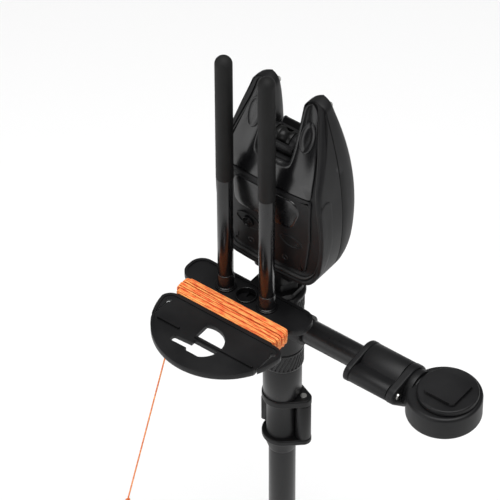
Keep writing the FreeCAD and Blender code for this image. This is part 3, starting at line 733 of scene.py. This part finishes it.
def gasket():
    """Round-topped strip that fills the groove."""
    stations = [(0, 3.4, 1.55, "face"), (0, 3.45, 0.9, "face"), (0, 3.8, 0.6, "face"),
                (0, 4.5, 0.6, "face"), (0, 4.85, 0.9, "face"), (0, 4.9, 1.55, "face")]
    return grid_mesh("gasket", place(ribbon_points(stations)), capped=False)


finish(sharpen(scoop(), 40), "gloss_black", "alarm", "scoop_panel")
finish(gasket(), "gasket_rubber", "alarm", "front_gasket")

# %% [markdown]
# Every other detail on the face is a pad: a rounded outline drawn on the front view, shrunk step
# by step towards its middle while the surface rises or sinks by a given height. A raised window,
# a bezel with a ring, a screw with a dished head and an oval on an ear are all this one shape.

# %% Pads that follow the face
def loop_points(corners, count=96):
    """Closed outline with rounded corners (u, v, radius), as evenly spaced points.

    Each corner is an arc that touches both its sides, and the arcs are joined by straight lines.
    """
    c = np.array(corners, float)
    points = []
    for i in range(len(c)):
        here, before, after = c[i, :2], c[i - 1, :2], c[(i + 1) % len(c), :2]
        one, two = before - here, after - here
        one, two = one / np.linalg.norm(one), two / np.linalg.norm(two)
        half = math.acos(np.clip(one @ two, -1, 1)) / 2
        reach = c[i, 2] / math.tan(half)
        middle = here + (one + two) / np.linalg.norm(one + two) * c[i, 2] / math.sin(half)
        a, b = here + one * reach - middle, here + two * reach - middle
        t = np.linspace(0, 1, 9)[:, None]
        arc = a * (1 - t) + b * t
        points.append(middle + arc / np.linalg.norm(arc, axis=1, keepdims=True) * c[i, 2])
    points = np.concatenate(points + [points[0][:1]])
    along = np.concatenate([[0], np.cumsum(np.linalg.norm(np.diff(points, axis=0), axis=1))])
    at = np.linspace(0, along[-1], count, endpoint=False)
    return np.stack([np.interp(at, along, points[:, k]) for k in range(2)], axis=1)


def oval(x, z, wide, tall, count=64):
    """(x + wide cos a, z + tall sin a) all the way round."""
    a = np.linspace(0, 2 * np.pi, count, endpoint=False)
    return np.stack([x + wide * np.cos(a), z + tall * np.sin(a)], axis=1)


def inset_loop(loop, amount):
    """Loop moved inwards by amount along its own normals."""
    step = np.roll(loop, -1, axis=0) - np.roll(loop, 1, axis=0)
    normal = np.stack([-step[:, 1], step[:, 0]], axis=1)
    normal /= np.maximum(np.linalg.norm(normal, axis=1, keepdims=True), 1e-9)
    middle = loop.mean(axis=0)
    turn = np.sign(np.sum(normal * (middle - loop)))
    return loop + normal * turn * amount


def pad(name, loop, rings, surface=face_depth, away=-1.0):
    """Solid pad: rings are (inset mm, height mm) from the outside in, closed at the middle.

    The first ring's outline also closes the underside. away is the side the pad faces.
    """
    rows = []
    middle = loop.mean(axis=0)
    deepest = rings[0][1]
    for share in (0.0, 0.5, 1.0):
        flat = middle + (loop - middle) * max(share, 1e-4)
        rows.append((flat, deepest))
    rows += [(inset_loop(loop, inset), height) for inset, height in rings]
    last, height = rows[-1]
    centre = last.mean(axis=0)
    rows += [(centre + (last - centre) * share, height) for share in (0.66, 0.33, 1e-4)]
    grid = [np.stack([flat[:, 0], surface(flat[:, 0], flat[:, 1]) + away * height, flat[:, 1]], axis=1)
            for flat, height in rows]
    return sharpen(grid_mesh(name, place(np.stack(grid)), capped=False), 40)


FACE = [(-20.2, 24.2, 2.0), (20.2, 24.2, 2.0), (23.4, 46, 30.0), (24.6, 72.0, 1.4), (-24.6, 72.0, 1.4),
        (-23.4, 46, 30.0)]
WINDOW = [(-18.4, 50.4, 4.4), (14.6, 50.4, 5.5), (19.0, 62.0, 3.0), (17.6, 68.8, 4.5), (-18.4, 68.8, 4.4)]
EYE = [(-19.6, 42.6, 2.2), (-10.3, 35.6, 9.0), (-0.6, 41.4, 2.2), (-10.3, 49.2, 9.0)]
JACK_EYE = [(5.4, 43.2, 2.0), (13.9, 35.8, 8.0), (21.0, 41.4, 2.0), (13.9, 47.4, 8.0)]

face = pad("face", loop_points(FACE, 160), [(0, -1.28), (0, -0.35), (0.35, -0.05), (1.0, 0.0), (6, 0.0),
                                           (12, 0.0)])
window = pad("window", loop_points(WINDOW), [(0, -0.3), (0.1, 0.25), (0.5, 0.6), (1.1, 0.7), (4, 0.75)])
eye = pad("eye", loop_points(EYE), [(0, -0.3), (0.15, 0.5), (0.5, 0.62), (0.9, 0.5), (1.2, 0.2),
                                    (2.6, 0.2)])
jack_eye = pad("jack_eye", loop_points(JACK_EYE), [(0, -0.3), (0.1, 0.15), (0.4, 0.3), (0.8, 0.2),
                                                  (1.0, 0.0), (2.4, 0.0)])
finish(face, "moulded_black", "alarm", "face_panel")
finish(window, "gloss_black", "alarm", "face_window")
finish(eye, "moulded_black", "alarm", "button_bezel")
finish(jack_eye, "moulded_black", "alarm")
button = pad("button", oval(-10.3, 42.0, 3.0, 3.0), [(0, -0.1), (0, 1.3), (0.25, 1.6), (0.7, 1.6),
                                                    (0.9, 1.2), (1.5, 1.2), (1.7, 1.7), (2.2, 1.75)])
finish(button, "gloss_black", "button", "power_button")
for side, tag in ((-1, "left"), (1, "right")):
    ear = pad(f"{tag}_ear_pad", oval(side * 15.0, 99.2, 3.7, 7.0), [(0, -1.2), (0, 0.0), (0.2, 0.14),
                                                                   (0.5, 0.14), (0.8, -0.04), (2.4, -0.1)])
    finish(ear, "gloss_black", "alarm", *(("ear_pads",) if side > 0 else ()))
    screw = pad(f"{tag}_face_screw", oval(side * 9.7, 29.6, 1.7, 1.7, 40),
                [(0, -0.3), (0, 0.1), (0.2, 0.2), (0.6, 0.2), (0.8, -0.1), (1.2, -0.1)])
    finish(screw, "dark_steel", "alarm", *(("face_screws",) if side > 0 else ()))
print("face panel", len(face.data.polygons), "faces, window", len(window.data.polygons), "faces")
# %% [markdown]
# ## Side hatches, rear door and case screws
# The side wall runs straight back from the rim, so a point on it needs only x as a function of
# height. The hatches are pads turned to face sideways. The rear door is part of the same dome as
# the shell round it, lifted by 0.35 mm so that it can be drawn out on its own.

# %% Side hatches
HATCH = [(-11.4, 71.0, 4.0), (-3.0, 71.0, 4.0), (-2.4, 44.0, 20.0), (-6.6, 25.5, 1.2),
         (-9.4, 25.5, 1.0)]


def wall_x(z):
    """Half width of the case at a height, from the outer edge curve."""
    line = smooth_line(OUTER, 400)
    return np.interp(z, line[60:, 1], line[60:, 0])


def side_pad(name, side, loop, rings):
    """A pad built facing -Y with y and x exchanged, so that it lies on the side wall."""
    piece = pad(name, loop, rings, surface=lambda y, z: side * wall_x(z), away=side)
    points = np.empty(len(piece.data.vertices) * 3)
    piece.data.vertices.foreach_get("co", points)
    piece.data.vertices.foreach_set("co", points.reshape(-1, 3)[:, [1, 0, 2]].ravel())
    piece.data.flip_normals()
    return piece


for side, tag in ((-1, "left"), (1, "right")):
    hatch = side_pad(f"{tag}_hatch", side, loop_points(HATCH, 120),
                     [(0, -1.0), (0, 0.1), (0.2, 0.32), (0.7, 0.38), (2.0, 0.4)])
    finish(hatch, "soft_shell", "alarm", *(("side_hatches",) if side > 0 else ()))
print("hatches")

# %% Rear door and screws
DOOR = [(-14.0, 38.0, 4.0), (14.0, 38.0, 4.0), (14.0, 76.0, 4.0), (-14.0, 76.0, 4.0)]


def dome_depth(x, z):
    """Back face y near the middle of the case, by the dome's own formula, rounded off sideways."""
    low, high = OUTER[0][1], INNER[0][1]
    across = np.clip((z - low) / (high - low), 0.0, 1.0)
    bulge = (1 - np.abs(2 * across - 1) ** DOME) ** (1 / DOME)
    return SEAM_Y + (through(BACK, z) - SEAM_Y) * bulge - 0.0016 * x ** 2


door = pad("door", loop_points(DOOR, 120),
           [(0, -1.6), (0, 0.35), (0.4, 0.55), (2.0, 0.55), (2.3, 0.35), (6.0, 0.35)],
           surface=dome_depth, away=1.0)
finish(door, "soft_shell", "door", "battery_door")
for i, (x, z, screw_y) in enumerate(((-20.0, 44.0, 17.2), (20.0, 44.0, 17.2), (-17.5, 90.0, 15.4),
                                     (17.5, 90.0, 15.4))):
    head = pad(f"case_screw_{i}", oval(x, z, 1.7, 1.7, 32), [(0, -4.0), (0, 0.0), (0.2, 0.2), (0.6, 0.2),
                                                            (0.8, -0.3), (1.2, -0.3)],
               surface=lambda u, v: 0 * u + screw_y, away=1.0)
    finish(head, "dark_steel", "alarm", *(("case_screws",) if i == 0 else ()))
print("rear door and screws")

# %% [markdown]
# ## Knurled lock rings
# A knurl is a ripple of the radius that leans as it climbs: r = R - d (1 + cos(n a + k z)) / 2,
# faded out where the ring has a smooth band or a bevel. The ring is a grid closed both ways: round
# the axis, and round its own section with the bore.

# %% Rings
def knurled_ring(name, bore, rows, ribs, lean, depth):
    """Ring about the leg's axis from (radius, z, knurl 0..1) rows, all in millimetres."""
    radius, z, weight = np.array(rows, float).T[:, :, None]
    angle = np.linspace(0, 2 * np.pi, 360, endpoint=False)[None, :]
    ripple = (0.5 + 0.5 * np.cos(ribs * angle + lean * z)) ** 1.6
    outside = radius - depth * weight * ripple
    z = np.broadcast_to(z, outside.shape)
    outside = np.stack([outside * np.cos(angle), outside * np.sin(angle), z], axis=-1)
    inside = [np.stack([bore * np.cos(angle), bore * np.sin(angle), 0 * angle + level], axis=-1)
              for level in (rows[-1][1], rows[0][1])]
    grid = np.concatenate([outside] + inside, axis=0)
    return sharpen(grid_mesh(name, place(grid), ring=True, capped=False), 55)


def ring_rows(low, high, radius, start, end, steps):
    """Bevelled ends at low and high; the knurl fills start to end."""
    rows = [(radius - 0.7, low, 0), (radius - 0.15, low + 0.25, 0), (radius, low + 0.7, 0),
            (radius, start, 0)]
    rows += [(radius, value, min(1.0, 2 * i, 2 * (steps - 1 - i)))
             for i, value in enumerate(np.linspace(start + 0.2, end - 0.2, steps))]
    return rows + [(radius, end, 0), (radius, high - 0.7, 0), (radius - 0.15, high - 0.25, 0),
                   (radius - 0.7, high, 0)]


def height_span(node):
    """Lowest and highest point of a node, in millimetres above the deck."""
    low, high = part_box(node)
    return (low.z - DECK) / MM, (high.z - DECK) / MM


RIBS, LEAN, RIB_DEPTH = 32, -1.3, 0.65
STUD_BORE = 4.8                    # radius of the hole for the threaded stud
low_z, high_z = height_span("lower_lock_ring")
rows = ring_rows(low_z, high_z, 10.35, low_z + 0.9, high_z - 1.0, 24)
lower = knurled_ring("lower_knurl", STUD_BORE, rows, RIBS, LEAN, RIB_DEPTH)
finish(lower, "black_anodised", "lower_ring", "lower_lock_ring")
low_z, high_z = height_span("upper_lock_ring")
rows = ring_rows(low_z, high_z, 10.5, low_z + 0.9, high_z - 3.6, 20)[:-3]
rows += [(10.5, high_z - 3.1, 0), (11.0, high_z - 2.6, 0), (11.2, high_z - 2.2, 0),    # flange
         (11.2, high_z - 1.2, 0), (10.7, high_z - 0.4, 0), (9.6, high_z, 0)]
upper = knurled_ring("upper_knurl", STUD_BORE, rows, RIBS, LEAN, RIB_DEPTH)
finish(upper, "black_anodised", "upper_ring", "upper_lock_ring")
print("rings", len(lower.data.polygons), len(upper.data.polygons), "faces")

# %% [markdown]
# ## Finishes for the parts that keep their own solids
# The record names a material slot for every node, so one loop gives each part its finish. Doubled
# points are welded and a fine bevel breaks every sharp edge, because a real edge catches a line of
# light and a perfect one can't.

# %% Dress the remaining parts
slot_of = {row["node"]: row["material_slot"] for row in frame["record"]["subparts"]}
UNBROKEN = {"circuit_board", "battery", "speaker", "jack_contacts"}


def break_edges(part, width=0.22 * MM):
    """Weld the shells, then bevel edges sharper than 35 degrees by width."""
    part.modifiers.new("weld", "WELD").merge_threshold = 0.002 * MM
    bevel = part.modifiers.new("bevel", "BEVEL")
    bevel.width, bevel.segments = width, 2
    bevel.limit_method, bevel.angle_limit = "ANGLE", math.radians(35)
    bevel.use_clamp_overlap = True


for name, part in nodes.items():
    if not part.hide_render:
        part.data.materials.clear()
        part.data.materials.append(slots[slot_of[name]])
        if name not in UNBROKEN:
            break_edges(part)
print("dressed", sum(not part.hide_render for part in nodes.values()), "parts")
